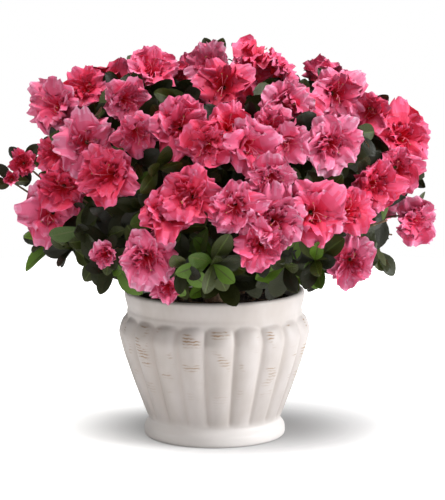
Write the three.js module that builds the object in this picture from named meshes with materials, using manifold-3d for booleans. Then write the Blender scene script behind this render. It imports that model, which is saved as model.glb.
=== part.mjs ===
// A florist's azalea in full double bloom, in its fluted white ceramic pot.
// Millimetres, +Z up. The origin is the middle of the pot's flat underside.
// The front of the plant looks along -Y, and +X is to its right.
import * as THREE from 'three';
import { mergeVertices } from 'three/addons/utils/BufferGeometryUtils.js';
import Module from 'manifold-3d';

const wasm = await Module();
wasm.setup();
const { Manifold, Mesh: SolidMesh } = wasm;

// ---------------------------------------------------------------- driving sizes
const GAP = 0.3; // between pieces that touch
const MASS_GAP = 1; // between the blooms of two masses that press together
const CLEAR = 0.7; // from a leaf to anything it isn't rooted in
const MELT = 0.5; // finer steps than this melt away once a mass is fused

const POT = {
  height: 139,
  rimRadius: 85,
  shoulderRadius: 90.3,
  neckRadius: 82.4,
  waistRadius: 62.6,
  footRadius: 66.8,
  wall: 6,
  floor: 9,
  lobes: 20, // rounded upright ribs between the neck and the waist
  lobeDepth: 4.6,
  lobeTurn: 3.7, // degrees from the front to the middle of a rib
  stepsPerLobe: 4,
};
const SOIL = { top: 127, crown: 2.5, segments: 33 };

const TRUNK = { height: 48, footRadius: 13, radius: 8.4, tipRadius: 6.2, lean: [4, 3] };
const BOUGH = { rootRadius: 3.4, tipRadius: 2.3, sides: 5, steps: 3, sweep: 0.25 };
const TWIG = { stemRadius: 2.3, hubRadius: 1.9, tipRadius: 1.15, knotRadius: 2.8, sides: 3, steps: 1 };

// The dome that the blossom reaches: an ellipse in plan, a rounded square from the side.
// It has grown a little to its own right of the trunk.
const CROWN = { across: 190, deep: 180, side: 10, centre: 190, rise: 172, drop: 40, squareness: 3 };
// Blooms within this many degrees of the front turn towards it, and the rest towards the back.
const FRONT_HALF = 100;
const HUB_SHARE = 0.6; // how far out a mass forks, as a share of the dome
const BOUGH_SHARE = 0.4; // and where its bough hands over to its stem
const BLOOM_INSET = 22; // a bloom's middle lies this far inside the dome
const BLOOM = { size: 46, spacing: 43, funnel: 0.62, lowestLift: 4 };
const SHOOT = { spacing: 39, clearOfBlooms: 37, inset: 26 };
const LEAF = { length: 41, width: 0.48, thickness: 0.045, perBloom: 2, perShoot: 5, sunk: 0.3 };
const LOWEST_LEAF = 160; // leaves turn up rather than hang over the rim of the pot
// Even spots over the dome that may take a bloom or a shoot, from the top to below the widest line.
const LATTICE = { count: 200, depth: 1.25 };

// The masses of blossom and leaf, ring by ring, each ring named round from the front to the right.
// Lift is degrees above the widest line, and a root is how high up the trunk its bough leaves.
const RINGS = [
  {
    level: 'low', lift: 4, first: 0, roots: [14, 24],
    sides: ['front', 'front_right', 'right', 'back_right', 'back', 'back_left', 'left', 'front_left'],
  },
  {
    level: 'high', lift: 46, first: 18, roots: [35],
    sides: ['front', 'right', 'back_right', 'back_left', 'left'],
  },
  { level: 'top', lift: 90, first: 0, roots: [TRUNK.height], sides: ['middle'] },
];
// Leafy shoots over the pot's rim that cover the soil, ring by ring.
const SKIRT = [
  { count: 13, reach: 112, height: 170 }, { count: 8, reach: 80, height: 173 },
  { count: 4, reach: 40, height: 176 },
];

// The blooms of the front, each [across, up, size]. How deep each lies follows from the dome.
const FRONT_BLOOMS = [
  [-148, 312, 56], [-120, 329, 40], [-80, 323, 44], [-58, 346, 44], [-29, 305, 58],
  [-68, 298, 46], [-115, 286, 52], [-5, 350, 42], [8, 336, 52], [38, 356, 44],
  [34, 341, 46], [62, 346, 40], [77, 322, 39], [63, 321, 46], [13, 306, 44],
  [31, 290, 52], [51, 304, 42], [66, 291, 38], [-7, 291, 44], [50, 262, 44],
  [113, 326, 56], [143, 308, 40], [176, 283, 58], [168, 256, 50], [105, 288, 54],
  [145, 248, 48], [88, 231, 58], [120, 230, 46], [54, 226, 54], [41, 204, 46],
  [122, 184, 46], [189, 203, 45], [-21, 247, 54], [-40, 233, 48], [18, 237, 46],
  [-58, 190, 54], [-94, 261, 56], [-137, 244, 46], [-152, 216, 58], [-145, 270, 42],
  [-41, 163, 28], [-179, 258, 28], [-190, 243, 24], [-96, 191, 28],
];

const COLOURS = {
  pot: 0xece7e1, soil: 0x2a1d15, bark: 0x6b4a36, mass: 0xd6446f,
};

// ---------------------------------------------------------------- small tools
const UP = new THREE.Vector3(0, 0, 1);
const vec = (x, y, z) => new THREE.Vector3(x, y, z);
const radians = THREE.MathUtils.degToRad;

// A seeded stream of numbers from 0 to 1.
function seeded(seed) {
  let state = seed >>> 0;
  return () => {
    state = (state + 0x6d2b79f5) >>> 0;
    let t = state;
    t = Math.imul(t ^ (t >>> 15), t | 1);
    t ^= t + Math.imul(t ^ (t >>> 7), t | 61);
    return ((t ^ (t >>> 14)) >>> 0) / 4294967296;
  };
}

function solidFrom(geometry) {
  const bare = geometry.clone();
  bare.deleteAttribute('normal');
  bare.deleteAttribute('uv');
  const merged = mergeVertices(bare, 1e-4);
  return new Manifold(new SolidMesh({
    numProp: 3,
    vertProperties: new Float32Array(merged.attributes.position.array),
    triVerts: new Uint32Array(merged.index.array),
  }));
}

function geometryFrom(solid) {
  const { vertProperties, triVerts, numProp } = solid.getMesh();
  const corners = new Float32Array((vertProperties.length / numProp) * 3);
  for (let i = 0; i < corners.length / 3; i++) {
    corners.set(vertProperties.subarray(i * numProp, i * numProp + 3), i * 3);
  }
  const geometry = new THREE.BufferGeometry();
  geometry.setAttribute('position', new THREE.BufferAttribute(corners, 3));
  geometry.setIndex(new THREE.BufferAttribute(triVerts, 1));
  geometry.computeVertexNormals();
  return geometry;
}

// A closed skin over rings of equal length, with a point at each end.
function skinOverRings(start, rings, end) {
  const n = rings[0].length;
  const points = [start, ...rings.flat(), end];
  const last = points.length - 1;
  const faces = [];
  for (let i = 0; i < n; i++) {
    const next = (i + 1) % n;
    faces.push(0, 1 + next, 1 + i);
    for (let r = 0; r < rings.length - 1; r++) {
      const a = 1 + r * n;
      const b = a + n;
      faces.push(a + i, a + next, b + i, a + next, b + next, b + i);
    }
    const top = 1 + (rings.length - 1) * n;
    faces.push(top + i, top + next, last);
  }
  const geometry = new THREE.BufferGeometry();
  geometry.setFromPoints(points);
  geometry.setIndex(faces);
  return geometry;
}

// A limb of round section that tapers along a curve. radiusAt takes 0 at the root to 1 at the tip.
function limb(curve, radiusAt, sides, steps) {
  const { normals, binormals } = curve.computeFrenetFrames(steps);
  const rings = normals.map((normal, s) => {
    const centre = curve.getPointAt(s / steps);
    const radius = radiusAt(s / steps);
    return Array.from({ length: sides }, (_, i) => {
      const turn = (2 * Math.PI * i) / sides;
      return centre.clone()
        .addScaledVector(normal, radius * Math.cos(turn))
        .addScaledVector(binormals[s], radius * Math.sin(turn));
    });
  });
  return skinOverRings(curve.getPointAt(0), rings, curve.getPointAt(1));
}

// ---------------------------------------------------------------- pot and soil
// Outer wall from the underside to the rim: [radius, height, how strongly the ribs show].
const OUTER_WALL = [
  [0, 0, 0], [POT.footRadius - 3, 0, 0], [POT.footRadius, 3, 0], [POT.footRadius - 0.5, 8, 0],
  [POT.waistRadius, 16.5, 0], [POT.waistRadius + 2, 20, 0.8], [73, 44, 1], [81, 65, 1],
  [88, 88, 1], [POT.shoulderRadius, 100, 1], [87.4, 111, 0.9], [POT.neckRadius, 120, 0],
  [POT.rimRadius, POT.height - 2, 0],
  [POT.rimRadius - 1.2, POT.height, 0],
];
// Inner wall from the rim down to the floor.
const INNER_WALL = [
  [POT.rimRadius - POT.wall, POT.height],
  [POT.neckRadius - POT.wall, 120], [POT.shoulderRadius - POT.wall - 3.4, 100], [72.4, 60],
  [54, POT.floor], [0, POT.floor],
];

function potSolid() {
  const wall = [...OUTER_WALL, ...INNER_WALL.map(([r, z]) => [r, z, 0])];
  const segments = POT.lobes * POT.stepsPerLobe;
  const profile = wall.map(([r, z]) => new THREE.Vector2(r, z));
  const geometry = new THREE.LatheGeometry(profile, segments);
  const place = geometry.attributes.position;
  for (let i = 0; i < place.count; i++) {
    const strength = wall[i % wall.length][2];
    const turn = Math.floor(i / wall.length) / POT.stepsPerLobe;
    const hollow = 1 - Math.abs(Math.cos(Math.PI * turn));
    const radius = Math.hypot(place.getX(i), place.getZ(i));
    const share = radius ? 1 - (strength * POT.lobeDepth * hollow) / radius : 1;
    place.setX(i, place.getX(i) * share);
    place.setZ(i, place.getZ(i) * share);
  }
  geometry.rotateX(Math.PI / 2).rotateZ(radians(POT.lobeTurn));
  return solidFrom(geometry);
}

function soilSolid() {
  const rimSide = INNER_WALL.findIndex(([, z]) => z < SOIL.top);
  const [above, below] = [INNER_WALL[rimSide - 1], INNER_WALL[rimSide]];
  const down = (above[1] - SOIL.top) / (above[1] - below[1]);
  const edge = THREE.MathUtils.lerp(above[0], below[0], down);
  const profile = [
    [0, SOIL.top], [TRUNK.footRadius + 6, SOIL.top], [edge * 0.6, SOIL.top + SOIL.crown],
    [edge - GAP, SOIL.top], ...INNER_WALL.slice(rimSide, -1).map(([r, z]) => [r - GAP, z]),
    [0, POT.floor],
  ].map(([r, z]) => new THREE.Vector2(r, z === POT.floor ? z + GAP : z)).reverse();
  const geometry = new THREE.LatheGeometry(profile, SOIL.segments);
  return solidFrom(geometry.rotateX(Math.PI / 2).rotateZ(radians(POT.lobeTurn)));
}

// ---------------------------------------------------------------- the crown's plan
// The spot on the dome in one direction: bearing from the front to the right, lift above level.
function onDome(bearing, lift, share = 1, inset = 0) {
  const [turn, rise] = [radians(bearing), radians(lift)];
  const height = Math.sin(rise);
  const reach = Math.cos(rise);
  const { squareness } = CROWN;
  const scale = (reach ** squareness + Math.abs(height) ** squareness) ** (-1 / squareness);
  const half = height < 0 ? CROWN.drop : CROWN.rise;
  return vec(
    CROWN.side + share * (CROWN.across - inset) * reach * scale * Math.sin(turn),
    -share * (CROWN.deep - inset) * reach * scale * Math.cos(turn),
    CROWN.centre + share * (half - inset * (height < 0 ? 0.3 : 1)) * height * scale,
  );
}

// The same dome, read from the front: how far forward of the trunk a spot at [across, up] lies.
function depthAt(across, up) {
  const half = up < CROWN.centre ? CROWN.drop : CROWN.rise - BLOOM_INSET;
  const high = Math.min(1, Math.abs(up - CROWN.centre) / half);
  const wide = (1 - high ** CROWN.squareness) ** (2 / CROWN.squareness);
  const rest = wide - ((across - CROWN.side) / (CROWN.across - BLOOM_INSET)) ** 2;
  return (CROWN.deep - BLOOM_INSET) * Math.sqrt(Math.max(0, rest));
}

// A bloom looks out and up, and those at the sides turn most of the way to the front or the back.
// The smaller it is, the further it strays from that.
function facing(place, size, random) {
  const bearing = Math.atan2(place.x, -place.y);
  const isFront = Math.abs(bearing) <= radians(FRONT_HALF);
  const fromEnd = isFront ? bearing : bearing - Math.sign(bearing) * Math.PI;
  const stray = THREE.MathUtils.clamp((60 - size) / 16, 0.35, 1);
  const turn = bearing - 0.65 * fromEnd + (random() - 0.5) * 1.5 * stray;
  const high = THREE.MathUtils.clamp((place.z - CROWN.centre) / CROWN.rise, -0.2, 1);
  const nod = 0.05 + 0.75 * high ** 6 + (random() - 0.5) * 1.1 * stray;
  return vec(Math.sin(turn) * Math.cos(nod), -Math.cos(turn) * Math.cos(nod), Math.sin(nod));
}

const random = seeded(7);
const masses = RINGS.flatMap((ring) => ring.sides.map((side, i) => {
  const bearing = ring.first + (360 / ring.sides.length) * i;
  return {
    name: `mass_${ring.level}_${side}`,
    bough: `bough_${ring.level}_${side}`,
    root: ring.roots[i % ring.roots.length],
    hand: onDome(bearing, ring.lift, BOUGH_SHARE),
    hub: onDome(bearing, ring.lift, HUB_SHARE),
    tips: [],
  };
}));

function giveToNearest(tip) {
  const away = (mass) => mass.hub.distanceTo(tip.place);
  masses.reduce((best, mass) => (away(mass) < away(best) ? mass : best)).tips.push(tip);
}

// Even spots over the dome, by turning the golden angle from each to the next.
const spots = Array.from({ length: LATTICE.count }, (_, i) => {
  const height = 1 - (LATTICE.depth * (i + 0.5)) / LATTICE.count;
  return { bearing: ((i * 137.508 + 180) % 360) - 180, lift: Math.asin(height) * (180 / Math.PI) };
});

const blooms = FRONT_BLOOMS.map(([across, up, size]) => (
  { kind: 'bloom', place: vec(across, -depthAt(across, up), up), size }
));
for (const { bearing, lift } of spots) {
  const place = onDome(bearing, lift, 1, BLOOM_INSET);
  const free = blooms.every((b) => b.place.distanceTo(place) > BLOOM.spacing);
  const isFront = place.y < -30 && place.z < 340;
  if (free && !isFront && lift > BLOOM.lowestLift) {
    blooms.push({ kind: 'bloom', place, size: BLOOM.size * (0.9 + 0.3 * random()) });
  }
}
const shoots = [];
for (const { bearing, lift } of spots) {
  const place = onDome(bearing, lift, 1, SHOOT.inset);
  const free = blooms.every((b) => b.place.distanceTo(place) > SHOOT.clearOfBlooms)
    && shoots.every((s) => s.place.distanceTo(place) > SHOOT.spacing);
  if (free) shoots.push({ kind: 'shoot', place, size: LEAF.length });
}
for (const { count, reach, height } of SKIRT) {
  for (let i = 0; i < count; i++) {
    const turn = (2 * Math.PI * (i + 0.5 * random())) / count;
    const out = reach * (0.94 + 0.12 * random());
    const place = vec(out * Math.sin(turn), -out * Math.cos(turn), height + 10 * (random() - 0.5));
    shoots.push({ kind: 'shoot', place, size: LEAF.length });
  }
}
for (const tip of [...blooms, ...shoots]) {
  tip.faces = facing(tip.place, tip.size, random);
  giveToNearest(tip);
}

// ---------------------------------------------------------------- trunk and boughs
const trunkCurve = new THREE.QuadraticBezierCurve3(
  vec(0, 0, SOIL.top - 3),
  vec(-2, 1, SOIL.top + TRUNK.height * 0.5),
  vec(TRUNK.lean[0], TRUNK.lean[1], SOIL.top + TRUNK.height),
);
function trunkSolid(extra = 0) {
  const flare = (t) => (TRUNK.footRadius - TRUNK.radius) * Math.exp(-9 * t);
  const taper = (t) => THREE.MathUtils.lerp(TRUNK.radius, TRUNK.tipRadius, t);
  const whole = solidFrom(limb(trunkCurve, (t) => flare(t) + taper(t) + extra, 10, 6));
  return whole.trimByPlane([0, 0, 1], SOIL.top + GAP);
}

// From inside the trunk, out along the mass's bearing, and up to where its stem takes over.
function boughCurve(mass) {
  const along = mass.root / TRUNK.height;
  const root = trunkCurve.getPointAt(Math.min(1, along));
  if (along >= 1) return new THREE.LineCurve3(root.clone().addScaledVector(UP, GAP), mass.hand);
  const bend = root.clone().lerp(mass.hand, 0.5);
  bend.z = THREE.MathUtils.lerp(root.z, mass.hand.z, BOUGH.sweep);
  return new THREE.QuadraticBezierCurve3(root, bend, mass.hand);
}

function boughSolid(mass, trunkClear) {
  const radiusAt = (t) => THREE.MathUtils.lerp(BOUGH.rootRadius, BOUGH.tipRadius, t);
  const whole = solidFrom(limb(mass.boughPath, radiusAt, BOUGH.sides, BOUGH.steps));
  return largestPiece(whole.subtract(trunkClear));
}

// The main piece of a solid, without the scraps that a cut or a fusing leaves loose.
function largestPiece(solid) {
  const pieces = solid.decompose();
  if (pieces.length > 1) console.log('scraps dropped:', pieces.length - 1);
  return pieces.reduce((a, b) => (a.volume() > b.volume() ? a : b));
}

// ---------------------------------------------------------------- blooms and leaves
// A double bloom one unit across: a funnel that opens to a ragged edge round a raised heart.
function bloomTemplate(seed) {
  const roll = seeded(seed);
  const points = 7;
  const ring = (inner, outer, z) => Array.from({ length: points }, (_, i) => {
    const radius = (i % 2 ? inner : outer) * (0.92 + 0.16 * roll());
    const angle = (2 * Math.PI * i) / points;
    return vec(radius * Math.cos(angle), radius * Math.sin(angle), z + 0.08 * (roll() - 0.5));
  });
  const rings = [ring(0.45, 0.53, 0.02), ring(0.3, 0.24, 0.13)];
  return solidFrom(skinOverRings(vec(0, 0, -0.5 * BLOOM.funnel), rings, vec(0, 0, 0.17)));
}

// An oval blade one unit long, from its root at the origin along +X, with a keel and a folded face.
function leafTemplate() {
  const [half, thick] = [LEAF.width / 2, LEAF.thickness / 2];
  const middle = [vec(0.52, half, 0.06), vec(0.5, 0, -thick), vec(0.52, -half, 0.06), vec(0.5, 0, thick)];
  return solidFrom(skinOverRings(vec(0, 0, 0), [middle.reverse()], vec(1, 0, -0.04)));
}

const bloomShapes = [11, 12, 13, 14].map(bloomTemplate);
const leafShape = leafTemplate();

// Sets +Z of a template along a direction, turned about it, at a place and a size.
function placed(template, place, direction, turn, size) {
  const spin = new THREE.Quaternion().setFromAxisAngle(UP, turn);
  const aim = new THREE.Quaternion().setFromUnitVectors(UP, direction);
  const matrix = new THREE.Matrix4().compose(place, aim.multiply(spin), vec(size, size, size));
  return template.transform(matrix.toArray());
}

// A leaf that leaves its twig at a spot, along a direction, and shows its face the way its tip looks.
function leafAt(spot, direction, outlook, length) {
  const side = outlook.clone().cross(direction).normalize();
  const face = direction.clone().cross(side);
  const matrix = new THREE.Matrix4().makeBasis(direction, side, face);
  matrix.scale(vec(length, length, length)).setPosition(spot);
  return leafShape.transform(matrix.toArray());
}

// The twig from a mass's hub to a tip, which comes up behind the bloom it carries.
function twigCurve(mass, tip) {
  const behind = tip.kind === 'bloom' ? 0.5 * BLOOM.funnel * tip.size * 0.8 : 4;
  return new THREE.LineCurve3(mass.hub, tip.place.clone().addScaledVector(tip.faces, -behind));
}

function twigSolid(curve) {
  const radiusAt = (t) => THREE.MathUtils.lerp(TWIG.hubRadius, TWIG.tipRadius, t);
  return solidFrom(limb(curve, radiusAt, TWIG.sides, TWIG.steps));
}

// The knot where a mass forks, which holds the roots of all its twigs.
function knotSolid(mass) {
  const ball = new THREE.IcosahedronGeometry(TWIG.knotRadius, 0);
  return solidFrom(ball.translate(mass.hub.x, mass.hub.y, mass.hub.z));
}

function stemSolid(mass) {
  const path = mass.boughPath;
  const along = path.getTangentAt(1);
  const start = mass.hand.clone().addScaledVector(along, GAP);
  const curve = new THREE.QuadraticBezierCurve3(
    start, start.clone().addScaledVector(along, 0.5 * start.distanceTo(mass.hub)), mass.hub,
  );
  const radiusAt = (t) => THREE.MathUtils.lerp(TWIG.stemRadius, TWIG.hubRadius, t);
  return solidFrom(limb(curve, radiusAt, BOUGH.sides, 2));
}

// ---------------------------------------------------------------- building it
const pot = potSolid();
const soil = soilSolid();
const trunk = trunkSolid();
const trunkClear = trunkSolid(GAP);
for (const mass of masses) {
  mass.boughPath = boughCurve(mass);
  mass.boughSolid = boughSolid(mass, trunkClear);
  mass.pieces = [stemSolid(mass), knotSolid(mass)];
  mass.soft = []; // its blooms and leaves, which no further leaf may touch
}
const limbs = [pot, soil, trunk, ...masses.map((mass) => mass.boughSolid)];

const boxesMeet = (a, b) => [0, 1, 2].every(
  (k) => a.min[k] <= b.max[k] + CLEAR && b.min[k] <= a.max[k] + CLEAR,
);
const meets = (a, b) => boxesMeet(a.boundingBox(), b.boundingBox()) && a.minGap(b, CLEAR) < CLEAR;

// Blooms of different masses that press together part at the plane half way between them.
function trimmedBloom(tip, mass) {
  let solid = placed(bloomShapes[Math.floor(random() * 4)], tip.place, tip.faces, random() * 7, tip.size);
  for (const other of masses) {
    for (const near of other === mass ? [] : other.tips) {
      const apart = near.place.clone().sub(tip.place);
      const reach = (tip.size + near.size) * 0.55;
      if (near.kind !== 'bloom' || apart.length() > reach) continue;
      const way = apart.clone().normalize().negate();
      const share = tip.size / (tip.size + near.size);
      const cut = tip.place.clone().addScaledVector(apart, share).addScaledVector(way, MASS_GAP / 2);
      solid = solid.trimByPlane(way.toArray(), way.dot(cut));
    }
  }
  return solid;
}

// A tip whose twig or bloom would touch a limb or another mass is left out.
const othersOf = (mass) => masses.flatMap((other) => (other === mass ? [] : other.pieces));
for (const mass of masses) {
  const others = [...limbs, ...othersOf(mass)];
  mass.tips = mass.tips.filter((tip) => {
    tip.path = twigCurve(mass, tip);
    const twig = twigSolid(tip.path);
    const bloom = tip.kind === 'bloom' ? [trimmedBloom(tip, mass)] : [];
    if ([twig, ...bloom].some((piece) => others.some((other) => meets(piece, other)))) return false;
    mass.pieces.push(twig, ...bloom);
    mass.soft.push(...bloom);
    return true;
  });
}

// A leaf is kept where it stays clear of the limbs and of what the other masses already hold.
function addLeaf(mass, leaf) {
  if ([...limbs, ...mass.soft, ...othersOf(mass)].some((piece) => meets(leaf, piece))) return 0;
  mass.pieces.push(leaf);
  mass.soft.push(leaf);
  return 1;
}

let leaves = 0;
for (const mass of masses) {
  for (const tip of mass.tips) {
    const count = tip.kind === 'bloom' ? LEAF.perBloom : LEAF.perShoot;
    const first = random() * 2 * Math.PI;
    for (let i = 0; i < count; i++) {
      const along = tip.kind === 'bloom' ? 0.7 + (0.2 * i) / count : 0.6 + (0.38 * i) / count;
      const spot = tip.path.getPointAt(along);
      const swing = new THREE.Quaternion().setFromAxisAngle(tip.faces, first + i * radians(137.508));
      const open = radians(55 + 25 * random());
      const direction = UP.clone().cross(tip.faces).normalize().applyQuaternion(swing)
        .multiplyScalar(Math.sin(open)).addScaledVector(tip.faces, Math.cos(open));
      const length = LEAF.length * (0.85 + 0.3 * random());
      direction.z = Math.max(direction.z, (LOWEST_LEAF - spot.z) / length);
      direction.normalize();
      spot.addScaledVector(direction, -LEAF.sunk);
      leaves += addLeaf(mass, leafAt(spot, direction, tip.faces, length));
    }
  }
}

// ---------------------------------------------------------------- the scene graph
const plant = new THREE.Group();
const materialOf = (color, roughness) => new THREE.MeshStandardMaterial({ color, roughness, metalness: 0 });
const potMaterial = materialOf(COLOURS.pot, 0.45);
const soilMaterial = materialOf(COLOURS.soil, 0.95);
const barkMaterial = materialOf(COLOURS.bark, 0.85);
const massMaterial = materialOf(COLOURS.mass, 0.6);

function addNode(name, solid, material) {
  const mesh = new THREE.Mesh(geometryFrom(solid), material);
  mesh.name = name;
  plant.add(mesh);
}

addNode('pot', pot, potMaterial);
addNode('soil', soil, soilMaterial);
addNode('trunk', trunk, barkMaterial);
for (const mass of masses) addNode(mass.bough, mass.boughSolid, barkMaterial);
for (const mass of masses) {
  const fused = Manifold.union(mass.pieces).simplify(MELT);
  addNode(mass.name, largestPiece(fused), massMaterial);
}

const kept = masses.flatMap((mass) => mass.tips);
const bloomsKept = kept.filter((tip) => tip.kind === 'bloom').length;
console.log(`${bloomsKept} blooms, ${kept.length - bloomsKept} leafy shoots, ${leaves} leaves`);

export default plant;
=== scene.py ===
# %% [markdown]
# A florist's azalea in full bloom, in its fluted ceramic pot. The engineered solids of the plant
# are loaded first, as a frame of real size. Every piece that is modelled below is then laid over
# one of those solids, so nothing is scaled or fitted by eye. Sizes are millimetres until a mesh is
# made, because a gardener or a potter would measure a plant of this size in them.

# %% Load the frame
import math

import bpy
import numpy as np
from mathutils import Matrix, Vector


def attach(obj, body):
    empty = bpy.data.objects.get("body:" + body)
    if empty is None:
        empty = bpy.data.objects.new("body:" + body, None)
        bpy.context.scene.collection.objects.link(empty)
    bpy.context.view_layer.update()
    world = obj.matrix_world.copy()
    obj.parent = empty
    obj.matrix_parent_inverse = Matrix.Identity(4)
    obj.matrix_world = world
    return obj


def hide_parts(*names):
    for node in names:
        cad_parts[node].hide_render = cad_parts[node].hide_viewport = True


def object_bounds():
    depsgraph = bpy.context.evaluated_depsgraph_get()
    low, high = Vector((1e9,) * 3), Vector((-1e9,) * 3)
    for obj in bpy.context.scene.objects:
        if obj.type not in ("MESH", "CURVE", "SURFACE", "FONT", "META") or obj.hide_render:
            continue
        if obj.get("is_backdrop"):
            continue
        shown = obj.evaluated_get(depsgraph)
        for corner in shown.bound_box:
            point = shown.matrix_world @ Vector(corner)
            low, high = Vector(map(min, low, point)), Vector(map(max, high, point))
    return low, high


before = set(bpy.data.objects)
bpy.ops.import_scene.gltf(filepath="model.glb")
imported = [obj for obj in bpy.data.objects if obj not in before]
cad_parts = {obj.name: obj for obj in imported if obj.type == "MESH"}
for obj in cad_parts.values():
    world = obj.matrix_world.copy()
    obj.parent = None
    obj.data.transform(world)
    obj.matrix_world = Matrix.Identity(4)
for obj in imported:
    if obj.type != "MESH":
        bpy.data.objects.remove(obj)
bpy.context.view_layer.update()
MM = 0.001

# %% [markdown]
# The solids grew by a seeded rule, and the finer plant has to stand in the same places. So the same
# rule is written again here. A seeded stream gives the same numbers on each run, which a plain
# random call would not. These are the sizes that drive it: the dome that the blossom reaches, how
# far out the branches fork, and how far apart the blooms and the leafy shoots stand.

# %% The plant's driving sizes
SOIL_TOP = 127
TRUNK_HEIGHT = 48
TRUNK_LEAN = (4, 3)
CROWN_ACROSS, CROWN_DEEP, CROWN_SIDE = 190, 180, 10
CROWN_CENTRE, CROWN_RISE, CROWN_DROP = 190, 172, 40
CROWN_SQUARENESS = 3
HUB_SHARE, BOUGH_SHARE = 0.6, 0.4
BLOOM_INSET, BLOOM_SIZE, BLOOM_SPACING = 22, 46, 43
LOWEST_BLOOM_LIFT = 4  # degrees above the widest line
SHOOT_INSET, SHOOT_SPACING, SHOOT_CLEAR = 26, 39, 37
LATTICE_COUNT, LATTICE_DEPTH = 200, 1.25
LEAF_LENGTH = 41
GOLDEN = 137.508
FRONT_HALF = math.radians(100)  # blooms within this bearing turn to the front, the rest to the back
END_PULL = 0.65  # how much of the way those at the sides turn to the front or back
LEVELS = ("low", "high", "top")
LOW_SIDES = [
    "front", "front_right", "right", "back_right", "back", "back_left", "left", "front_left",
]
HIGH_SIDES = ["front", "right", "back_right", "back_left", "left"]
RINGS = [
    {"level": "low", "lift": 4, "first": 0, "roots": [14, 24], "sides": LOW_SIDES},
    {"level": "high", "lift": 46, "first": 18, "roots": [35], "sides": HIGH_SIDES},
    {"level": "top", "lift": 90, "first": 0, "roots": [TRUNK_HEIGHT], "sides": ["middle"]},
]
SKIRT = [(13, 112, 170), (8, 80, 173), (4, 40, 176)]  # count, reach and height of each ring

# %% [markdown]
# The blooms that face the viewer are listed one by one, as a florist turns a plant to its best
# side.
# Each has how far it is to the right, how high it stands, and how wide it is. How far forward it
# lies follows from the dome, so the list stays short. The place of the viewer is where the camera
# will stand later.

# %% The blooms of the front
VIEWER = np.array((7.5, -2200, 515))
FRONT_BLOOMS = [
    (-148, 312, 56), (-120, 329, 40), (-80, 323, 44), (-58, 346, 44), (-29, 305, 58),
    (-68, 298, 46), (-115, 286, 52), (-5, 350, 42), (8, 336, 52), (38, 356, 44),
    (34, 341, 46), (62, 346, 40), (77, 322, 39), (63, 321, 46), (13, 306, 44),
    (31, 290, 52), (51, 304, 42), (66, 291, 38), (-7, 291, 44), (50, 262, 44),
    (113, 326, 56), (143, 308, 40), (176, 283, 58), (168, 256, 50), (105, 288, 54),
    (145, 248, 48), (88, 231, 58), (120, 230, 46), (54, 226, 54), (41, 204, 46),
    (122, 184, 46), (189, 203, 45), (-21, 247, 54), (-40, 233, 48), (18, 237, 46),
    (-58, 190, 54), (-94, 261, 56), (-137, 244, 46), (-152, 216, 58), (-145, 270, 42),
    (-41, 163, 28), (-179, 258, 28), (-190, 243, 24), (-96, 191, 28),
]

# %% [markdown]
# Small tools for vectors come next. The stream of numbers is a well known 32-bit mixer, and it is
# kept to whole numbers so that it matches the source to the last digit.

# %% Seeded numbers and vectors
WORD = 0xFFFFFFFF
AROUND = 6.28  # radians, near enough to a full turn where a hair's breadth doesn't matter


def seeded(seed):
    state = seed & WORD

    def roll():
        nonlocal state
        state = (state + 0x6D2B79F5) & WORD
        t = state
        t = ((t ^ (t >> 15)) * (t | 1)) & WORD
        t ^= (t + (((t ^ (t >> 7)) * (t | 61)) & WORD)) & WORD
        return ((t ^ (t >> 14)) & WORD) / 4294967296

    return roll


def vec(*parts):
    return np.array(parts, dtype=float)


def unit(v):
    return v / max(np.linalg.norm(v), 1e-9)


def smooth(a, b, x):
    t = np.clip((np.asarray(x, dtype=float) - a) / (b - a), 0, 1)
    return t * t * (3 - 2 * t)


def turned(v, axis, angle):
    """v turned about a unit axis."""
    across = np.cross(axis, v) * math.sin(angle)
    return v * math.cos(angle) + across + axis * np.dot(axis, v) * (1 - math.cos(angle))


def turn_about_z(angle):
    c, s = math.cos(angle), math.sin(angle)
    return np.array([[c, -s, 0], [s, c, 0], [0, 0, 1]])


print("first seeded number", round(seeded(7)(), 4))

# %% [markdown]
# The crown's plan says where each mass of foliage forks, where each bloom sits and which way it
# looks. Blooms stand on a dome, and each belongs to the mass whose fork is nearest. A flower turns
# to the light, so it looks out and up, and those at the sides turn more than half way to the front
# or the back. Small flowers stray further from that than large ones.

# %% The crown's plan
HAND_PLANTED_DEPTH, HAND_PLANTED_TOP = -30, 340  # nearer and lower than this, the list holds


def on_dome(bearing, lift, share=1, inset=0):
    """A place on the crown's dome, by its bearing from the front and its lift, in degrees."""
    turn, rise = math.radians(bearing), math.radians(lift)
    height, reach = math.sin(rise), math.cos(rise)
    scale = (reach**CROWN_SQUARENESS + abs(height) ** CROWN_SQUARENESS) ** (-1 / CROWN_SQUARENESS)
    half = CROWN_DROP if height < 0 else CROWN_RISE
    up_inset = inset * (0.3 if height < 0 else 1)
    return vec(
        CROWN_SIDE + share * (CROWN_ACROSS - inset) * reach * scale * math.sin(turn),
        -share * (CROWN_DEEP - inset) * reach * scale * math.cos(turn),
        CROWN_CENTRE + share * (half - up_inset) * height * scale,
    )


def depth_at(across, up):
    """How far forward the dome lies at a place that is seen from the front."""
    half = CROWN_DROP if up < CROWN_CENTRE else CROWN_RISE - BLOOM_INSET
    high = min(1, abs(up - CROWN_CENTRE) / half)
    wide = (1 - high**CROWN_SQUARENESS) ** (2 / CROWN_SQUARENESS)
    rest = wide - ((across - CROWN_SIDE) / (CROWN_ACROSS - BLOOM_INSET)) ** 2
    return (CROWN_DEEP - BLOOM_INSET) * math.sqrt(max(0, rest))


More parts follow.
